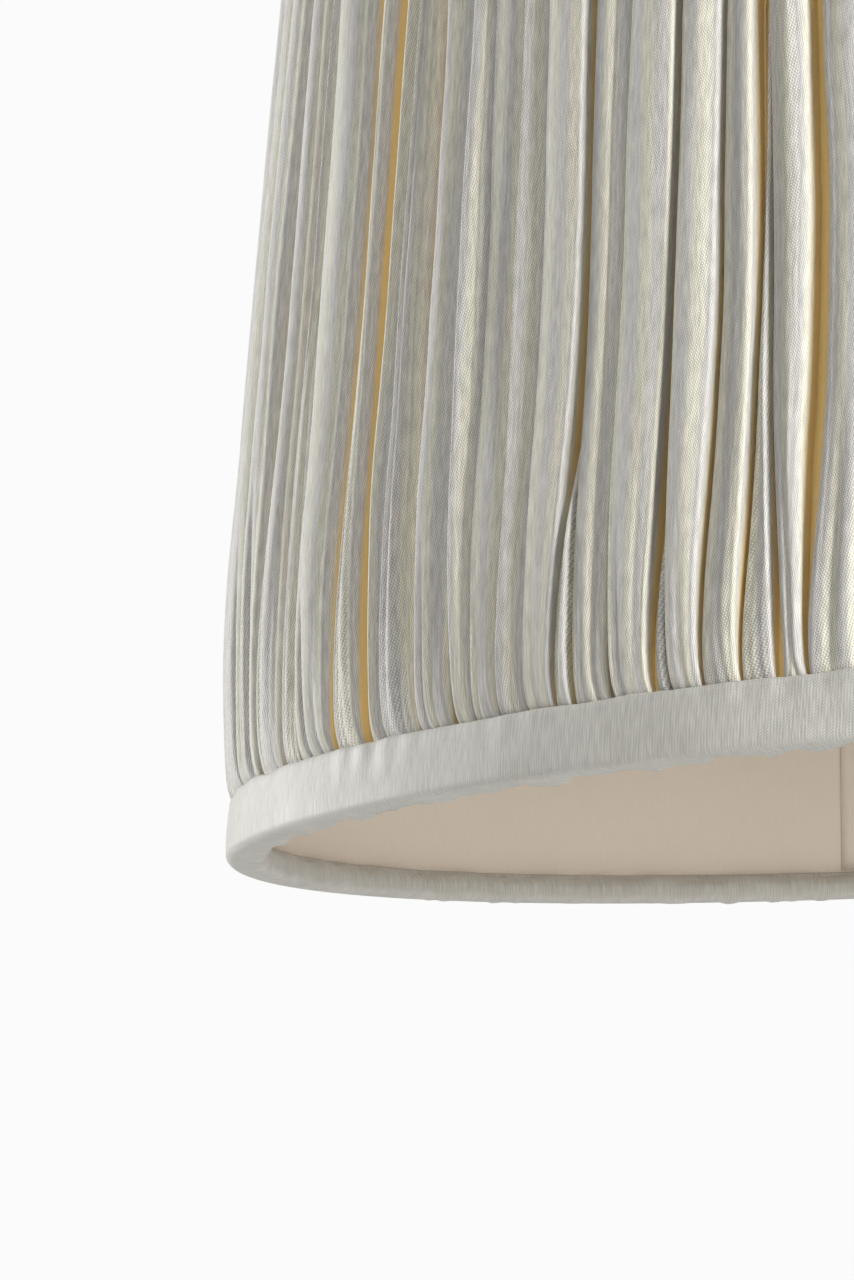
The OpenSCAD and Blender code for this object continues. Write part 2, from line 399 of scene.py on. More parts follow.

# %% [markdown]
# ## How the cloth is gathered
#
# Each quarter of the cover is a straight piece of cloth more than twice as wide as the wall. It is
# drawn up on a thread at both edges, so it falls into folds that stand side by side, lean on each
# other and pinch where the bindings hold them. A cloth simulation of some 120 pressed folds would
# need far more points and time than they are worth, and it would land somewhere new with every
# change of setting. So the folds are laid by rule: a list of the valleys between them, each with an
# angle, an opening, a side that laps over and a painted glow. Three quarters are drawn at random. In
# the front left quarter the angles from 204.4 to 252.5 degrees are measurements that a separate
# program worked out, and the pulls there began as differences between such angles. The rest of that
# list is given one by one. The random quarters follow the same manner.
#
# A lap above zero means that the fold before the valley lies over the next, and one below zero
# that the next lies over it. A pull is how far the valley is drawn round towards its neighbour
# where the bottom binding holds it.

# %% The list of valleys
# each valley's angle, opening in mm at mid height and at the bottom, lap, painted glow, pull in mm
FRONT_LEFT_VALLEYS = (
    (180.0, .5, .5, .3, .3, .0), (182.9, .4, .6, -.5, .2, .8), (186.2, .8, .4, -.6, .4, -.6),
    (189.5, .4, .8, -.6, .5, .6), (193.0, 4.4, 1.5, -.2, .6, -1.0), (196.2, .5, .9, -.6, .4, .8),
    (200.2, .7, .5, -.5, .2, -.6), (204.4, 4.6, 2.4, -.2, .5, -1.8), (208.9, 4.0, 2.0, -.3, 1.2, -1.2),
    (211.4, .5, .7, -.8, .4, -.9), (216.7, 3.6, 2.4, -.3, 1.6, -3.4), (219.7, 4.7, 3.6, -.1, 1.9, -.4),
    (222.1, 1.0, .5, -.6, .4, -2.4), (224.9, 3.6, .9, -.6, 2.0, -1.2), (228.2, .7, 2.2, -.4, .5, -2.4),
    (230.1, .5, .5, -.6, .5, -2.6), (232.7, .9, .8, -.9, .3, -4.6), (234.6, .5, .6, -.9, .4, -3.4),
    (237.3, .5, .5, .9, .9, -6.0), (237.8, .5, .9, .2, .6, -3.0), (240.7, .4, 1.4, -.4, .3, -4.2),
    (243.7, .6, 1.3, .8, .8, -5.0), (244.2, .5, .6, -.3, .5, -3.0), (246.6, .5, .4, .6, 1.0, -4.6),
    (248.8, .5, .4, .6, 1.0, -4.8), (249.4, .7, 1.8, .2, 1.0, .6), (252.5, 2.9, .6, .2, .8, -4.6),
    (256.5, .5, .5, .6, .4, -3.0), (259.2, .7, 1.2, -.6, .7, .0), (262.8, .4, .4, .4, .3, -1.4),
    (266.4, .8, 1.4, .7, .8, .8),
)
# how full each of those folds is, from pressed flat at 0 to round at 1
FRONT_LEFT_FULL = (
    1.0, 0.9, 1.0, 0.8, 1.0, 0.9, 1.0, 1.0, 0.9, 0.8, 0.9, 0.8, 0.5, 0.5, 0.3, 0.3,
    0.15, 0.3, 0.0, 0.25, 0.35, 0.0, 0.4, 0.3, 0.0, 1.0, 0.6, 0.4, 0.3, 0.5, 0.4)
QUARTERS = ("back_right", "back_left", "front_left", "front_right")
QUARTER_TURN = 90.0
RANDOM_FOLDS = 30
MM_PER_DEGREE = 3.0
FOLDS_SEED = 11


def random_valleys(chance, first):
    """A quarter's worth of valleys in the same manner as the list, from the angle first on."""
    widths = chance.lognormal(0, 0.33, RANDOM_FOLDS).clip(0.6, 2.1)
    widths *= QUARTER_TURN / widths.sum()
    angles = first + np.concatenate([[0], np.cumsum(widths)[:-1]])
    openings = chance.lognormal(-0.55, 0.5, (RANDOM_FOLDS, 2)).clip(0.3, 1.8)
    openings[chance.choice(RANDOM_FOLDS, 2, replace=False), 0] = chance.uniform(2.2, 3.6, 2)
    openings[chance.choice(RANDOM_FOLDS, 5, replace=False), 1] = chance.uniform(1.6, 2.6, 5)
    turned = np.cumsum(chance.random(RANDOM_FOLDS) < 0.25) % 2
    laps = (1 - 2 * turned) * chance.uniform(0.1, 1, RANDOM_FOLDS)
    pulls = chance.normal(0, 0.36, RANDOM_FOLDS) * (widths + np.roll(widths, 1)) * MM_PER_DEGREE / 2
    return np.stack([angles, *openings.T, laps, chance.uniform(0.1, 1, RANDOM_FOLDS), pulls], axis=1)


chance = np.random.default_rng(FOLDS_SEED)
quarter_valleys = [
    np.array(FRONT_LEFT_VALLEYS) if name == "front_left" else random_valleys(chance, QUARTER_TURN * place)
    for place, name in enumerate(QUARTERS)]
valleys = np.concatenate(quarter_valleys)
FOLDS = len(valleys)
full = chance.uniform(0.05, 1, FOLDS) ** 1.3
full[2 * RANDOM_FOLDS:2 * RANDOM_FOLDS + len(FRONT_LEFT_FULL)] = FRONT_LEFT_FULL
starts = np.radians(valleys[:, 0])
fold_width = np.diff(valleys[:, 0], append=valleys[0, 0] + 360)
print(FOLDS, "folds, the widest", round(float(fold_width.max()), 1), "degrees wide")

# %% [markdown]
# The folds are followed up the wall in rows. Rows lie close together where the cloth tucks under a
# binding and further apart in the open. Along each valley the fold's edge wanders a few
# millimetres, with its neighbours at long range and alone at short range, which is what keeps
# gathered cloth from looking like a printed pattern.

# %% Rows and wandering valleys
TUCK = 4.0
ROW_STEP = 3.0
CREST = 3.5
RISE = 45.0
BACK_GAP = 2.35


def row_heights():
    """Distances above the bottom edge in mm, close together near both bindings."""
    near = np.array([-TUCK, -2.0, -0.7, -0.1, 0.5, 1.1, 2.0, 3.2, 4.8, 6.8, 9.2, 12.0])
    low = BAND / MM + near
    high = HEIGHT / MM - low[::-1]
    middle = np.linspace(low[-1], high[0], int((high[0] - low[-1]) / ROW_STEP) + 1)[1:-1]
    return np.concatenate([low, middle, high])


z = row_heights()
ROWS = len(z)
radius = wall(z * MM) / MM
past_low = z - BAND / MM
past_high = HEIGHT / MM - BAND / MM - z
past = np.minimum(past_low, past_high)


def proud(distance):
    """How far the folds stand out from the bindings' face at a distance past a binding."""
    share = 1 - np.clip(distance, 0, RISE) / RISE
    return 0.3 + (CREST - 0.3) * (1 - share ** 2)


def smooth(value):
    value = np.clip(value, 0, 1)
    return value * value * (3 - 2 * value)


crest = np.where(past < 0, -0.95, proud(past) - 1.1 * np.exp(-np.clip(past, 0, None) / 2.2))
relief = np.clip((crest + BACK_GAP) / (CREST + BACK_GAP), 0, 1)


def waves(chance, count, length, strength):
    """A smooth random wander up the wall for each of count folds, in mm."""
    total = np.zeros((ROWS, count))
    for share, times in ((1.0, 1.0), (0.4, 2.1), (0.12, 4.3)):
        phase = chance.uniform(0, 2 * math.pi, count)
        total += share * np.sin(2 * math.pi * times * z[:, None] / length + phase)
    return strength * total


around = np.arange(FOLDS) * 2 * math.pi / FOLDS
together = 0.5 * np.sin(2 * math.pi * z[:, None] / 380 + 7 * around) + 0.25 * np.sin(
    2 * math.pi * z[:, None] / 190 - 13 * around + 1.0)
alone = waves(chance, FOLDS, 260, 0.30) + waves(chance, FOLDS, 64, 0.11)
above_low, below_high = np.clip(past_low, 0, None)[:, None], np.clip(past_high, 0, None)[:, None]
held_low = np.exp(-(above_low / 36) ** 1.7) * (1 - 0.12 * np.exp(-above_low / 6))
held_high = np.exp(-(below_high / 34) ** 1.7) * (1 - 0.12 * np.exp(-below_high / 6))
narrow = np.minimum(fold_width, np.roll(fold_width, 1)) / MM_PER_DEGREE
pinch_high = chance.normal(0, 1.1, FOLDS) * np.clip(narrow, 0.4, 1.3)
wander = together + alone * np.clip(narrow, 0.4, 1.3) + valleys[:, 5] * held_low + pinch_high * held_high
valley_turn = starts + wander / radius[:, None]
print(ROWS, "rows; valleys wander up to", round(float(np.abs(wander).max()), 2), "mm")

# %% [markdown]
# Now the cross-section of one fold. Cut level, a pressed fold is a flat-topped loop: up from the
# valley floor, round a shoulder, over the top, round the other shoulder and down again. A fold that
# lies over its neighbour has a tight shoulder that reaches across the valley, and the one beneath
# has a broad shoulder that starts lower. Wide folds carry one or two creases, which are folds that
# start or end part of the way up.

# %% The cross-section of every fold at once
TOP_POINTS = 17
LEFT_ARC = np.radians([205, 175, 147, 120, 97])
RIGHT_ARC = np.radians([83, 60, 33, 5, -25])
WALL_STOPS = (0.85, 0.45)


def field(values):
    """One value a fold, repeated in every row."""
    return np.broadcast_to(np.asarray(values, float), (ROWS, FOLDS))


def varied(chance, base, spread, length=120):
    """A value a fold that also changes slowly up the wall."""
    return field(base) * (1 + waves(chance, FOLDS, length, spread))


lap = np.clip(varied(chance, valleys[:, 3], 0.15), -1.1, 1.1)
near_low = np.exp(-(above_low / 24) ** 1.6)
gap = varied(chance, valleys[:, 1], 0.14, 110) * (1 - near_low) + valleys[:, 2] * near_low
flare = chance.choice([0.0, 1.0], FOLDS, p=[0.7, 0.3]) * chance.uniform(0.8, 1.8, FOLDS)
gap = np.clip(gap + flare * np.exp(-below_high / 12), 0.2, None)
gap = gap * (0.6 + 0.4 * np.clip(relief[:, None] * 1.6, 0, 1))
shift = 0.55 * lap * relief[:, None]
next_lap, next_gap, next_shift = (np.roll(a, -1, axis=1) for a in (lap, gap, shift))
next_turn = np.roll(valley_turn, -1, axis=1)
next_turn[:, -1] += 2 * math.pi
width = (next_turn - valley_turn) * radius[:, None]

over_left, under_left = np.maximum(0, -lap), np.maximum(0, lap)
over_right, under_right = np.maximum(0, next_lap), np.maximum(0, -next_lap)
left_edge = shift + gap / 2
right_edge = width + next_shift - next_gap / 2
room = right_edge - left_edge
squeeze = np.clip(1.3 - room, 0, None) / 2
left_edge, right_edge = left_edge - squeeze, right_edge + squeeze
top_width = right_edge - left_edge

lift = waves(chance, FOLDS, 160, 0.16) + field(chance.normal(0, 0.35, FOLDS))
lift -= 0.5 * np.clip(1 - top_width / 4, 0, 1) + 5.0 * smooth((2.2 - room) / 1.8)
step = relief[:, None] ** 1.5
lean = waves(chance, FOLDS, 180, 0.12) + field(chance.normal(0, 0.22, FOLDS))
height_left = crest[:, None] + step * (lift + lean + 0.45 * over_left - 1.7 * under_left)
height_right = crest[:, None] + step * (lift - lean + 0.45 * over_right - 1.7 * under_right)
floor = -BACK_GAP + step * 0.5 * field(chance.uniform(0, 1, FOLDS) ** 2)
next_floor = np.roll(floor, -1, axis=1)


def shoulder(over, under, height, base):
    """Radius of a shoulder: tight where the fold lies over, broad where it lies under."""
    wanted = 0.58 - 0.34 * over + 1.9 * under + 0.9 * full
    return np.minimum(np.minimum(wanted, 0.40 * top_width), 0.55 * (height - base))


left_round = shoulder(over_left, under_left, height_left, floor)
right_round = shoulder(over_right, under_right, height_right, next_floor)
print("fold tops", round(float(top_width[ROWS // 2].min()), 1), "to",
      round(float(top_width[ROWS // 2].max()), 1), "mm wide at mid height")

# %% Creases in the tops
CREASE_HALF = 0.035


def crease(chance, low, high):
    """Where a crease lies across a fold's top, and how deep and how wide it is in every row."""
    at = field(chance.uniform(low, high, FOLDS)) + waves(chance, FOLDS, 200, 0.018)
    roomy = smooth((fold_width - 1.9) / 2.0)
    whole = chance.choice([0.0, 1.0], FOLDS, p=[0.6, 0.4]) * chance.uniform(0.25, 0.9, FOLDS)
    whole = whole * (1 + waves(chance, FOLDS, 150, 0.3))
    from_low = chance.uniform(0.2, 2.3, FOLDS) * (
        1 - smooth(np.clip(past_low, 0, None)[:, None] / chance.uniform(18, 75, FOLDS)))
    from_high = chance.uniform(0.2, 2.0, FOLDS) * (
        1 - smooth(np.clip(past_high, 0, None)[:, None] / chance.uniform(18, 75, FOLDS)))
    deep = roomy * np.maximum(np.maximum(whole, from_low), from_high)
    broad = field(chance.uniform(0.3, 1.3, FOLDS))
    ledge = field(chance.normal(0, 0.35, FOLDS))
    return at, deep * relief[:, None], broad, ledge


first, second = crease(chance, 0.2, 0.42), crease(chance, 0.58, 0.8)
stops = np.array([0, 4, 5, 6, 10, 11, 12, 16])
places = np.stack([
    field(0), first[0] - CREASE_HALF, first[0], first[0] + CREASE_HALF,
    second[0] - CREASE_HALF, second[0], second[0] + CREASE_HALF, field(1)], axis=-1)
index = np.arange(TOP_POINTS)
segment = np.clip(np.searchsorted(stops, index, side="right") - 1, 0, len(stops) - 2)
part = (index - stops[segment]) / (stops[segment + 1] - stops[segment])
across = places[..., segment] * (1 - part) + places[..., segment + 1] * part


def top_of_folds():
    """Points (x, height) along the tops: a low crown with creases, ripples and ledges."""
    x0 = (left_edge + left_round)[..., None]
    x1 = (right_edge - right_round)[..., None]
    x = x0 + (x1 - x0) * across
    span = (x1 - x0)
    level = height_left[..., None] * (1 - across) + height_right[..., None] * across
    crown = (0.04 + 0.15 * full[:, None]) * np.clip(span, 0, 9) * relief[:, None, None]
    level = level + crown * (1 - (2 * across - 1) ** 2)
    for at, deep, broad, ledge in (first, second):
        off = (across - at[..., None]) * span
        level = level - deep[..., None] * np.exp(-np.abs(off / broad[..., None]) ** 1.3)
        share = np.exp(-np.abs(off) / 2.0) * np.tanh(off / 0.35)
        level = level + share * (ledge * smooth(deep / 1.2))[..., None]
    ripple = waves(chance, FOLDS, 70, 0.05)[..., None]
    ripple = ripple * np.sin(2 * math.pi * across * 1.5 + around[:, None] * 31)
    pucker = np.exp(-np.clip(past, 0, None) / 9)[:, None, None] * 0.18 * np.sin(
        x * 3.1 + 40 * around[:, None] + 0.05 * z[:, None, None])
    edges = np.minimum(across, 1 - across) * 6
    return x, level + (ripple + pucker) * np.clip(edges, 0, 1) * relief[:, None, None] ** 0.5


def arc_points(centre_x, centre_h, size, angles):
    size = size[..., None]
    return centre_x[..., None] + size * np.cos(angles), centre_h[..., None] + size * np.sin(angles)


def wall_points(x_top, h_top, x_floor, h_floor, bow):
    """Points down the side of a fold, from near the floor up; the side bows a little outwards."""
    stops = np.array(WALL_STOPS)
    x = x_top[..., None] * (1 - stops) + x_floor[..., None] * stops
    x = x + bow[..., None] * np.sin(stops * math.pi)
    h = h_top[..., None] * (1 - stops) + h_floor[..., None] * stops
    return x, h


def sections():
    """x and height of every point: rows by folds by points in a fold."""
    undercut = 1.1 * step * np.clip(narrow, 0.3, 1)
    floor_left = -undercut * lap + 0.4 * gap
    floor_right = width - np.roll(undercut * lap, -1, axis=1) - 0.4 * next_gap
    lx, lh = arc_points(left_edge + left_round, height_left - left_round, left_round, LEFT_ARC)
    rx, rh = arc_points(right_edge - right_round, height_right - right_round, right_round, RIGHT_ARC)
    tx, th = top_of_folds()
    bow = 0.35 * step
    wlx, wlh = wall_points(lx[..., 0], lh[..., 0], floor_left, floor, -bow)
    wrx, wrh = wall_points(rx[..., -1], rh[..., -1], floor_right, next_floor, bow)
    xs = [floor_left[..., None], wlx, lx, tx, rx, wrx[..., ::-1], floor_right[..., None]]
    hs = [floor[..., None], wlh, lh, th, rh, wrh[..., ::-1], next_floor[..., None]]
    return np.concatenate(xs, axis=-1), np.concatenate(hs, axis=-1)


section_x, section_h = sections()
POINTS = section_x.shape[-1]
print(POINTS, "points across each fold")

# %% [markdown]
# The sections become the cover. Each quarter starts as a flat grid, as the cut cloth is, and its
# points are then moved to their places on the wall. The cloth's own coordinates are the length
# measured across the folds and the height up them, so the stripes stay as wide on the side of a
# fold as on its top. Quarters meet in the bottom of a valley, as their seams do.

# %% The four cover pieces
DEEP_SHARE = 0.78
SUNK = 1.6
HELD_ROWS = 8


def cover_tables():
    """Angle, radius, depth and painted glow for every column of the whole turn."""
    mean_radius = (radius + 1.0)[:, None, None]
    turn = (valley_turn[..., None] + section_x / mean_radius).reshape(ROWS, -1)
    out = (radius[:, None, None] + section_h).reshape(ROWS, -1)
    share = np.linspace(0, 1, POINTS)
    # How deep a point lies between the folds; the cover cloth paints shade and glow into its colour by this
    # depth.
    top = np.where(share < 0.5, height_left[..., None], height_right[..., None])
    top = np.maximum(top, crest[:, None, None] - SUNK)
    deepest = np.maximum((crest + BACK_GAP) * DEEP_SHARE, 1.5)[:, None, None]
    depth = np.clip((top - section_h) / deepest, 0, 1)
    painted_glow = valleys[:, 4][:, None] * (share < 0.5) + np.roll(valleys[:, 4], -1)[:, None] * (share >= 0.5)
    painted_glow = np.broadcast_to(painted_glow, (ROWS, FOLDS, POINTS)).reshape(ROWS, -1)
    return turn, out, depth.reshape(ROWS, -1), painted_glow


turn_table, out_table, depth_table, painted_glow_table = cover_tables()


def with_first(table, closing=0.0):
    """The table with its first column again at its end, so that the last quarter closes."""
    return np.concatenate([table, table[:, :1] + closing], axis=1)


turn_table = with_first(turn_table, 2 * math.pi)
out_table, depth_table, painted_glow_table = (with_first(t) for t in (out_table, depth_table, painted_glow_table))


def store(mesh, name, values):
    mesh.attributes.new(name, "FLOAT", "POINT").data.foreach_set("value", values.astype(np.float32))


def read(items, name, kind, parts=1):
    """One property of every vertex, face or corner of a mesh, as an array."""
    values = np.zeros(len(items) * parts, kind)
    items.foreach_get(name, values)
    return values.reshape(-1, parts) if parts > 1 else values


def points_of(mesh):
    return read(mesh.vertices, "co", np.float32, 3).astype(float)


def move_points(mesh, co):
    mesh.vertices.foreach_set("co", co.astype(np.float32).ravel())
    mesh.update()


def polar(co):
    """The angle and the distance from the axis of every point."""
    return np.arctan2(co[:, 1], co[:, 0]), np.hypot(co[:, 0], co[:, 1])


def give_cloth_coordinates(mesh, across, up):
    """Stores the cloth's own coordinates of every corner, in metres, as the mesh's UV map."""
    both = np.stack([across, up], axis=1).astype(np.float32)
    mesh.uv_layers.new(name="cloth").data.foreach_set("uv", both.ravel())


def new_piece(name, bm, material, smooth_faces=True):
    """An object at the origin from a bmesh, with its finish."""
    mesh = bpy.data.meshes.new(name)
    bm.to_mesh(mesh)
    bm.free()
    if smooth_faces:
        mesh.polygons.foreach_set("use_smooth", np.ones(len(mesh.polygons), bool))
    mesh.materials.append(material)
    piece = bpy.data.objects.new(name, mesh)
    scene.collection.objects.link(piece)
    return piece


def cover_piece(name, first_column, last_column):
    """One gathered piece of the cover, from a flat grid."""
    columns = last_column - first_column + 1
    bm = bmesh.new()
    bmesh.ops.create_grid(bm, x_segments=columns - 1, y_segments=ROWS - 1, size=1)
    piece = new_piece(name, bm, COVER_CLOTH)
    mesh = piece.data
    flat = read(mesh.vertices, "co", np.float32, 3)
    column = np.rint((flat[:, 0] + 1) / 2 * (columns - 1)).astype(int)
    row = np.rint((flat[:, 1] + 1) / 2 * (ROWS - 1)).astype(int)
    part = slice(first_column, last_column + 1)
    turn, out = turn_table[:, part], out_table[:, part] * MM
    up = np.broadcast_to(z[:, None] * MM, out.shape)
    place = np.stack([out * np.cos(turn), out * np.sin(turn), up], axis=-1)
    move_points(mesh, place[row, column])
    steps = np.linalg.norm(np.diff(place, axis=1), axis=-1)[HELD_ROWS:-HELD_ROWS].mean(axis=0)
    across = np.concatenate([[0], np.cumsum(steps)])
    corner = read(mesh.loops, "vertex_index", np.int32)
    give_cloth_coordinates(mesh, across[column][corner], (z * MM)[row][corner])
    store(mesh, "depth", depth_table[:, part][row, column])
    store(mesh, "painted_glow", painted_glow_table[:, part][row, column])
    return piece, float(across[-1])


fold_at = np.cumsum([0] + [len(q) for q in quarter_valleys]) * POINTS
for quarter, begin, end in zip(QUARTERS, fold_at[:-1], fold_at[1:]):
    piece, across_cloth = cover_piece("gathered_cloth_" + quarter, int(begin), int(end))
    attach(piece, "shade")
    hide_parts("cover_panel_" + quarter)
    print(piece.name, len(piece.data.polygons) * 2, "triangles,", round(across_cloth, 3), "m of cloth")

# %% [markdown]
# ## Binding cloth
#
# Both rims are bound with a strip of plain cloth cut across the threads, so its ribs stand upright
# on the rim. It has no stripes. The finish uses the same weave as the cover with an upright slant,
# plus a cloudier tone that comes and goes at random.

# %% Binding cloth finish
BINDING_TONE = (0.570, 0.562, 0.518, 1)


def build_binding_cloth():
    material, tree, shader = finish_shader("binding cloth", BINDING_TONE[:3])
    cloth = put(tree, "ShaderNodeUVMap", settings={"uv_map": "cloth"})
    weave = use_group(tree, WEAVE, Cloth=cloth, Pitch=0.52 * MM, Slant=0.08, Slub=0.9)
    clouds = use_group(tree, CLOUDS, Cloth=cloth, Size=0.012)["Value"]
    tone = blend_colours(tree, clouds, BINDING_TONE, (0.605, 0.598, 0.560, 1))
    # Painted shade between the threads and painted highlight along them.
    thread_shaded_tone = show_threads(tree, shader, tone, weave["Height"], (0.2, 0.8, 0.74, 1.16), 0.4, 0.12 * MM)
    feed(shader, Base_Color=thread_shaded_tone, Roughness=ramp(tree, clouds, 0.0, 1.0, 0.50, 0.60))
    shader.inputs["Sheen Weight"].default_value = 0.25
    shader.inputs["Sheen Roughness"].default_value = 0.45
    return material


BINDING_CLOTH = build_binding_cloth()
print("finish:", BINDING_CLOTH.name)

# %% [markdown]
# ## The bindings
#
# A binding starts on the outside, turns under the rim, wraps the wire and ends in a raw-looking lip
# on the lining. It could be swept along a circle, but a profile spun about the axis is the same
# shape and stays exact. The spun strip is then pressed and pulled by hand: it bulges a little over
# the folds beneath, its inner corner hangs in small uneven puckers, and its two ends overlap at the
# back. Solidify gives the doubled cloth its thickness, inwards, so the outside stays on the wall.

# %% Profile of a binding
CLOTH_THICK = 0.7 * MM
RIM_ROUND = 1.6
WRAP_ROUND = 2.4
WIRE_UP = 2.4
LIP_UP = 5.6


def arc(centre, size, first, last, count):
    """Points of an arc as (depth, distance from the rim), angles in degrees."""
    angles = np.radians(np.linspace(first, last, count))
    return [(centre[0] + size * math.cos(a), centre[1] + size * math.sin(a)) for a in angles]


def binding_profile(lean):
    """The outside of a binding as (depth in the wall, distance from the rim), in mm."""
    wire = WIRE_DEPTH / MM
    inner = wire + WRAP_ROUND
    wrapped = [(u + lean * (d - WIRE_UP), d) for u, d in arc((wire, WIRE_UP), WRAP_ROUND, 5, 100, 9)]
    edge = BAND / MM
    return (
        [(0.70, edge - 0.15), (0.30, edge + 0.02), (0.06, edge - 0.22), (-0.08, 10.1), (-0.14, 8.0),
         (-0.16, 6.0), (-0.12, 4.2), (-0.06, 2.8)]
        + arc((RIM_ROUND, RIM_ROUND), RIM_ROUND, 180, 270, 7)
        + [(3.2, -0.02), (4.6, -0.02)]
        + arc((inner - RIM_ROUND, RIM_ROUND), RIM_ROUND, 270, 345, 6)
        + wrapped
        + [(wire - 0.9, LIP_UP - 0.5), (wire - 1.35, LIP_UP)])


print(len(binding_profile(-SLOPE)), "points in the profile")

# %% Spin and press a binding
RIM_STEPS, RIM_CUTS = 90, 9


def ring_noise(chance, lowest, highest, count=9):
    """A smooth random function of the angle round the shade, from sines that close on themselves."""
    beats = chance.integers(lowest, highest, count)
    phases, sizes = chance.uniform(0, 2 * math.pi, count), chance.uniform(0.5, 1, count)
    scale = 1 / math.sqrt((sizes ** 2).sum() / 2)
    return lambda turn: scale * (sizes * np.sin(np.multiply.outer(turn, beats) + phases)).sum(axis=-1)


def spun_strip(profile, rise, base, steps, cuts=0, first=0.0, sweep=2 * math.pi):
    """A bmesh of (depth, distance) points spun about the axis; rise is +1 up from base or -1 down.

    A fine ring is spun coarse and cut, because spinning slows down as its mesh grows.
    """
    bm = bmesh.new()
    start = Matrix.Rotation(first, 3, "Z")
    verts = []
    for depth, distance in profile:
        height = base + rise * distance * MM
        verts.append(bm.verts.new(start @ Vector((wall(height) - depth * MM, 0, height))))
    edges = [bm.edges.new(pair) for pair in zip(verts, verts[1:])]
    whole = abs(sweep - 2 * math.pi) < 1e-6
    bmesh.ops.spin(bm, geom=verts + edges, cent=(0, 0, 0), axis=(0, 0, 1), angle=sweep, steps=steps,
                   use_merge=whole)
    if cuts:
        hoops = [edge for edge in bm.edges if abs(edge.verts[0].co.z - edge.verts[1].co.z) < 1e-7
                 and abs(edge.verts[0].co.xy.length - edge.verts[1].co.xy.length) < 1e-6]
        bmesh.ops.subdivide_edges(bm, edges=hoops, cuts=cuts, use_grid_fill=True)
        for vert in bm.verts:
            turn = math.atan2(vert.co.y, vert.co.x) - first
            beyond = math.remainder(turn - sweep / steps / 2, sweep / steps)
            vert.co.xy *= math.cos(beyond) / math.cos(sweep / steps / 2)
    return bm


def face_outwards(bm):
    """Turns the shell's faces alike, with its outermost face away from the axis."""
    bmesh.ops.recalc_face_normals(bm, faces=bm.faces)
    outermost = max(bm.faces, key=lambda f: f.calc_center_median().xy.length)
    if outermost.normal.xy.dot(outermost.calc_center_median().xy) < 0:
        bmesh.ops.reverse_faces(bm, faces=bm.faces)


def give_rim_coordinates(mesh, length_up):
    """Cloth coordinates on a ring: length round it, and the given length along the profile."""
    turn, out = polar(points_of(mesh))
    corner = read(mesh.loops, "vertex_index", np.int32)
    first = read(mesh.polygons, "loop_start", np.int32)
    leader = np.repeat(turn[corner[first]], read(mesh.polygons, "loop_total", np.int32))
    corner_turn = turn[corner]
    corner_turn += 2 * math.pi * np.rint((leader - corner_turn) / (2 * math.pi))
    give_cloth_coordinates(mesh, corner_turn * float(out.mean()), length_up[corner])


def press_binding(mesh, rise, base, seed, join_turn):
    """Moves the spun strip's points as the folds beneath and the maker's hands would."""
    chance = np.random.default_rng(seed)
    co = points_of(mesh)
    turn, out = polar(co)
    up = (co[:, 2] - base) * rise / MM
    depth = (wall(co[:, 2]) - out) / MM
    folds_under, slow = ring_noise(chance, 110, 190), ring_noise(chance, 9, 40)
    pucker, notch, lip = ring_noise(chance, 36, 110), ring_noise(chance, 120, 230), ring_noise(chance, 25, 90)
    face = smooth((up - 1.5) / 2) * (depth < 1.5)
    bulge = face * (0.10 * folds_under(turn) * smooth((up - 4) / 6) + 0.13 * slow(turn))
    corner = smooth((depth - 2.6) / 2.5) * smooth((3.2 - up) / 2.2)
    hang = corner * (0.20 + 0.22 * pucker(turn) + 0.12 * notch(turn))
    lining_side = smooth((depth - 3.5) / 2) * smooth((up - 2.2) / 2.5)
    pull = lining_side * (0.26 * lip(turn) + 0.06 * notch(turn))
    round_edge = smooth((up - 9.5) / 1.5) * 0.10 * slow(2 * turn)
    ahead = np.mod(turn - join_turn + math.pi, 2 * math.pi) - math.pi
    slanted = ahead * out / MM - 0.35 * up
    lapped = smooth((slanted + 7) / 0.9) * smooth((7 - slanted) / 5) * 0.55
    out = out + (bulge + lapped * np.where(depth < 3, 1, -1)) * MM
    co[:, 0], co[:, 1] = out * np.cos(turn), out * np.sin(turn)
    co[:, 2] += rise * (pull + round_edge - hang) * MM
    move_points(mesh, co)


ARM_ROOM = 2.0 * MM


def cut_for_arms(bm):
    """Opens the binding where the three arms leave the wire."""
    third = 2 * math.pi / 3
    doomed = []
    for face in bm.faces:
        middle = face.calc_center_median()
        out = middle.xy.length
        beside = math.remainder(math.atan2(middle.y, middle.x) - math.pi / 2, third) * out
        if abs(beside) < ARM_ROOM and wall(middle.z) - out > WIRE_DEPTH + 0.6 * MM:
            doomed.append(face)
    bmesh.ops.delete(bm, geom=doomed, context="FACES")
    return len(doomed)


def make_binding(node, rise, base, seed, join_turn, arms):
    profile = binding_profile(-SLOPE * rise)
    bm = spun_strip(profile, rise, base, RIM_STEPS, RIM_CUTS)
    face_outwards(bm)
    opened = cut_for_arms(bm) if arms else 0
    piece = new_piece(node.replace("_binding", "_rim_cloth"), bm, BINDING_CLOTH)
    steps = np.hypot(*np.diff(np.array(profile), axis=0).T)
    along = np.concatenate([[0], np.cumsum(steps)])
    give_rim_coordinates(piece.data, nearest_along(piece.data, profile, along, rise, base))
    press_binding(piece.data, rise, base, seed, math.radians(join_turn))
    solid = piece.modifiers.new("cloth thickness", "SOLIDIFY")
    solid.thickness, solid.offset = CLOTH_THICK, -1
    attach(piece, "shade")
    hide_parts(node)
    print(piece.name, "profile", round(float(along[-1]), 1), "mm, faces opened for arms:", opened)
    return piece


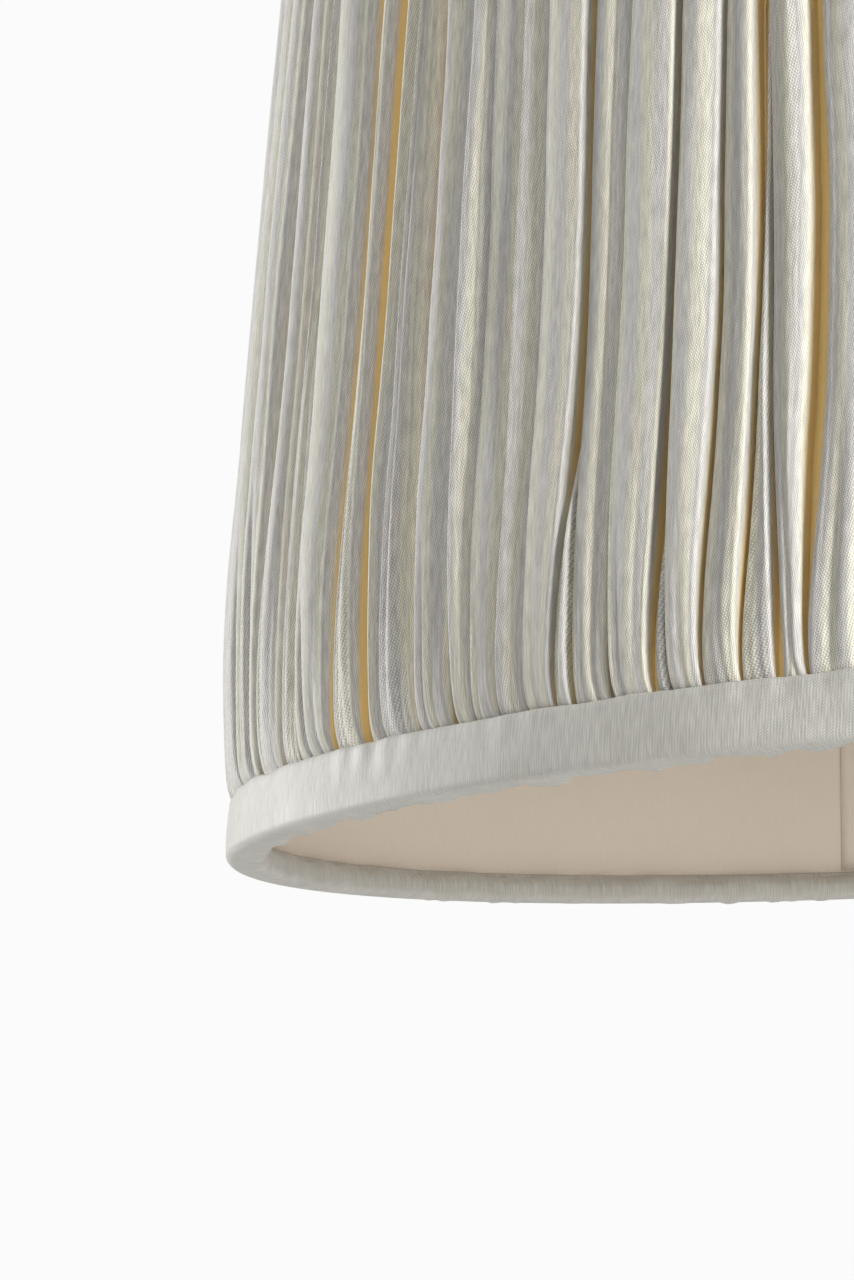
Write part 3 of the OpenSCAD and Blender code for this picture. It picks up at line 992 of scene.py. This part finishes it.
def nearest_along(mesh, profile, along, rise, base):
    """Length along the profile for every point of a spun mesh."""
    co = points_of(mesh)
    turn, out = polar(co)
    up = (co[:, 2] - base) * rise / MM
    depth = (wall(co[:, 2]) - out) / MM
    line = np.array(profile)
    gaps = (depth[:, None] - line[:, 0]) ** 2 + (up[:, None] - line[:, 1]) ** 2
    return along[gaps.argmin(axis=1)] * MM


low_binding = make_binding("bottom_binding", rise=1, base=0.0, seed=21, join_turn=63, arms=False)
high_binding = make_binding("top_binding", rise=-1, base=HEIGHT, seed=22, join_turn=140, arms=True)

# %% [markdown]
# ## The lining
#
# The lining is matt cloth laminated to the stiff backing, rolled into a cone and lapped at one seam.
# It is smooth, because the backing holds it, apart from faint pulls where the bindings grip it. It
# is spun like the bindings, and the lap is a short second spin on top of the first.

# %% Lining finish
LINING_TONE = (0.840, 0.750, 0.650, 1)


def build_lining_cloth():
    material, tree, shader = finish_shader("lining cloth", LINING_TONE[:3])
    cloth = put(tree, "ShaderNodeUVMap", settings={"uv_map": "cloth"})
    weave = use_group(tree, WEAVE, Cloth=cloth, Pitch=0.6 * MM, Slant=0.0, Slub=0.7)
    clouds = use_group(tree, CLOUDS, Cloth=cloth, Size=0.05)["Value"]
    tone = blend_colours(tree, clouds, LINING_TONE, (0.855, 0.770, 0.670, 1))
    # Painted shade between the threads and painted highlight along them.
    thread_shaded_tone = show_threads(tree, shader, tone, weave["Height"], (0.0, 1.0, 0.96, 1.03), 0.15, 0.08 * MM)
    feed(shader, Base_Color=thread_shaded_tone, Roughness=ramp(tree, clouds, 0.0, 1.0, 0.72, 0.80))
    return material


LINING_CLOTH = build_lining_cloth()

# %% The lining
LINING_DEPTH = 3.65
LINING_THICK = 0.35 * MM
LINING_END = 1.2
LAP_TURN = math.radians(110.5)
LAP_ACROSS = 12 * MM
LINING_ROWS = 40
LINING_STEPS, LINING_CUTS = 60, 5
LAP_STEPS, LAP_PROUD = 6, 0.38
LINING_SEED = 31


def lining_profile(depth, end):
    tall = HEIGHT / MM
    return [(depth, end + (tall - 2 * end) * i / LINING_ROWS) for i in range(LINING_ROWS + 1)]


def make_lining():
    bm = spun_strip(lining_profile(LINING_DEPTH, LINING_END), 1, 0.0, LINING_STEPS, LINING_CUTS)
    bm.from_mesh(lap_strip())
    for face in bm.faces:
        if face.normal.xy.dot(face.calc_center_median().xy) > 0:
            face.normal_flip()
    piece = new_piece("lining_cloth", bm, LINING_CLOTH)
    co = points_of(piece.data)
    chance = np.random.default_rng(LINING_SEED)
    pulls, slow = ring_noise(chance, 40, 150), ring_noise(chance, 3, 14)
    turn, out = polar(co)
    near = np.minimum(co[:, 2], HEIGHT - co[:, 2]) / MM
    give_rim_coordinates(piece.data, co[:, 2])
    out = out - (0.07 * np.abs(pulls(turn)) * np.exp(-near / 9) + 0.06 * slow(turn)) * MM
    co[:, 0], co[:, 1] = out * np.cos(turn), out * np.sin(turn)
    move_points(piece.data, co)
    solid = piece.modifiers.new("cloth thickness", "SOLIDIFY")
    solid.thickness, solid.offset = LINING_THICK, -1
    return piece


def lap_strip():
    """The lapped edge as a mesh of its own, a little proud of the lining."""
    sweep = LAP_ACROSS / wall(HEIGHT / 2)
    profile = lining_profile(LINING_DEPTH + LAP_PROUD, LIP_UP + 0.4)
    bm = spun_strip(profile, 1, 0.0, LAP_STEPS, first=LAP_TURN, sweep=sweep)
    mesh = bpy.data.meshes.new("lap")
    bm.to_mesh(mesh)
    bm.free()
    return mesh


lining = make_lining()
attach(lining, "shade")
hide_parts("lining_fabric")
print("lining", len(lining.data.polygons), "faces; lap at", round(math.degrees(LAP_TURN)), "degrees")

# %% [markdown]
# ## Finishes for the hard parts and the film
#
# The wires, arms, hub, gimbal, reducer, film and threads are already the right shape in the frame,
# so they only need finishes. None has its own map, so their patterns follow the object's own
# coordinates. *Pebble* is the fine orange peel of powder coat and of moulded plastic. *Clouds* is
# used again for handling marks.

# %% Pebble and places
def build_pebble():
    tree, given, gives = new_group("pebble", [("Place", "Vector", None), ("Size", "Float", 0.8 * MM)],
                                   [("Height", "Float")])
    scaled = divide_by(tree, given["Place"], given["Size"])
    cells = put(tree, "ShaderNodeTexVoronoi", settings={"feature": "SMOOTH_F1"}, Vector=scaled, Scale=1.0)
    noise = put(tree, "ShaderNodeTexNoise", Vector=scaled, Scale=0.6, Detail=2.0)
    both = maths(tree, "ADD", maths(tree, "MULTIPLY", cells, 0.6), maths(tree, "MULTIPLY", noise, 0.5))
    tree.links.new(both, gives["Height"])
    return tree


PEBBLE = build_pebble()


def object_place(tree):
    """The point's place in the object's own coordinates, in metres."""
    return put(tree, "ShaderNodeTexCoord", 3)


def hard_finish(name, light, dark, metal, rough, pebble_size, pebble_depth):
    """A finish with two close tones, uneven gloss and a fine bump, for a coated or moulded part."""
    material, tree, shader = finish_shader(name, light[:3])
    place = object_place(tree)
    clouds = use_group(tree, CLOUDS, Cloth=place, Size=9 * MM)["Value"]
    fine = use_group(tree, CLOUDS, Cloth=place, Size=1.6 * MM)["Value"]
    marks = maths(tree, "ADD", maths(tree, "MULTIPLY", clouds, 0.6), maths(tree, "MULTIPLY", fine, 0.4))
    shader.inputs["Metallic"].default_value = metal
    height = use_group(tree, PEBBLE, Place=place, Size=pebble_size)["Height"]
    feed(shader, Base_Color=blend_colours(tree, clouds, light, dark),
         Roughness=ramp(tree, marks, 0.0, 1.0, rough[0], rough[1]),
         Normal=put(tree, "ShaderNodeBump", Strength=0.5, Distance=pebble_depth, Height=height))
    return material


def dress(material, *nodes):
    """Gives a finish to parts of the frame."""
    for node in nodes:
        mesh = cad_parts[node].data
        mesh.materials.clear()
        mesh.materials.append(material)
    print(material.name, "on", ", ".join(nodes))


# %% Wires, arms and hub
POWDER_COAT = hard_finish("white powder coat", (0.800, 0.800, 0.780, 1), (0.765, 0.765, 0.740, 1),
                          0.0, (0.34, 0.50), 0.9 * MM, 0.05 * MM)
dress(POWDER_COAT, "bottom_ring", "top_ring", "spider_arm_1", "spider_arm_2", "spider_arm_3", "hub_ring")

# %% [markdown]
# The gimbal ring, its rivets and its washers are zinc-plated steel. Plating is bright but never
# even: it is bluish where it is thick and yellowish where it is thin, and the ring was turned, so
# fine marks run round it. The marks are a noise that changes only with height and with distance
# from the ring's axis.

# %% Gimbal
def build_plated_steel():
    material, tree, shader = finish_shader("zinc plated steel", (0.700, 0.700, 0.690))
    place = object_place(tree)
    part = put(tree, "ShaderNodeSeparateXYZ", Vector=place).node.outputs
    across = maths(tree, "SQRT", maths(tree, "ADD", maths(tree, "MULTIPLY", part["X"], part["X"]),
                                       maths(tree, "MULTIPLY", part["Y"], part["Y"])))
    marks = put(tree, "ShaderNodeTexNoise", settings={"noise_dimensions": "2D"},
                Vector=put(tree, "ShaderNodeCombineXYZ", X=across, Y=part["Z"]), Scale=4500.0, Detail=3.0)
    clouds = use_group(tree, CLOUDS, Cloth=place, Size=5 * MM)["Value"]
    gloss = maths(tree, "ADD", maths(tree, "MULTIPLY", clouds, 0.5), maths(tree, "MULTIPLY", marks, 0.5))
    shader.inputs["Metallic"].default_value = 1.0
    feed(shader, Base_Color=blend_colours(tree, clouds, (0.690, 0.710, 0.740, 1), (0.760, 0.735, 0.670, 1)),
         Roughness=ramp(tree, gloss, 0.1, 0.9, 0.24, 0.46),
         Normal=put(tree, "ShaderNodeBump", Strength=0.3, Distance=0.02 * MM, Height=marks))
    return material


PLATED_STEEL = build_plated_steel()
dress(PLATED_STEEL, "gimbal_ring", "pivot_rivet_left", "pivot_rivet_right", "spring_washer_left",
      "spring_washer_right")

# %% Reducer and film
REDUCER_PLASTIC = hard_finish("moulded white plastic", (0.840, 0.830, 0.790, 1),
                              (0.815, 0.800, 0.755, 1), 0.0, (0.36, 0.52), 0.5 * MM, 0.02 * MM)
dress(REDUCER_PLASTIC, "reducer_ring")
BACKING_FILM = hard_finish("backing film", (0.820, 0.815, 0.795, 1), (0.790, 0.780, 0.750, 1), 0.0,
                           (0.28, 0.42), 1.6 * MM, 0.02 * MM)
dress(BACKING_FILM, "backing_sheet")

# %% [markdown]
# The gathering threads are two-ply polyester. A thread is two strands wound round each other, so
# its bump is a wave that turns with the angle round the shade and with the height. The same wave
# paints shade into the colour in the grooves between the strands and a highlight on their crests.

# %% Gathering threads
THREAD_TWIST = 1.4 * MM


def build_thread():
    material, tree, shader = finish_shader("polyester thread", (0.800, 0.790, 0.750))
    part = put(tree, "ShaderNodeSeparateXYZ", Vector=object_place(tree)).node.outputs
    around_rim = maths(tree, "MULTIPLY", maths(tree, "ARCTAN2", part["Y"], part["X"]),
                       2 * math.pi * LOW_RING[0] / THREAD_TWIST)
    climb = maths(tree, "MULTIPLY", part["Z"], 2 * math.pi / (0.5 * MM))
    twist = maths(tree, "SINE", maths(tree, "ADD", around_rim, climb))
    # Painted shade in the grooves and a painted highlight on the crests, from the twist wave.
    light = ramp(tree, twist, -1.0, 1.0)
    feed(shader, Base_Color=blend_colours(tree, light, (0.700, 0.685, 0.640, 1), (0.840, 0.830, 0.790, 1)),
         Roughness=ramp(tree, twist, -1.0, 1.0, 0.62, 0.46),
         Normal=put(tree, "ShaderNodeBump", Strength=0.6, Distance=0.08 * MM, Height=twist))
    return material


dress(build_thread(), "gathering_thread_bottom", "gathering_thread_top")

# %% [markdown]
# ## Floor
#
# The shade hangs, so the floor lies well below it. It is a plain painted board that sends a little
# light back up into the shade. It is staging, not part of the object.

# %% Floor
FLOOR_AT = -0.6
FLOOR_HALF = 1.3


def lay_floor():
    bm = bmesh.new()
    bmesh.ops.create_grid(bm, x_segments=1, y_segments=1, size=FLOOR_HALF)
    bmesh.ops.translate(bm, verts=bm.verts, vec=(0, 0, FLOOR_AT))
    material, tree, shader = finish_shader("painted board", (0.73, 0.73, 0.72))
    clouds = use_group(tree, CLOUDS, Cloth=object_place(tree), Size=0.25)["Value"]
    feed(shader, Base_Color=blend_colours(tree, clouds, (0.740, 0.738, 0.730, 1), (0.715, 0.713, 0.703, 1)),
         Roughness=ramp(tree, clouds, 0.0, 1.0, 0.60, 0.70))
    return new_piece("floor", bm, material, smooth_faces=False)


lay_floor()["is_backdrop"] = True

# %% Measure and finish
shown_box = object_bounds()
for title, box in (("CAD", cad_box), ("visual", shown_box)):
    print(title, "box", [round(v, 4) for v in box[1] - box[0]])
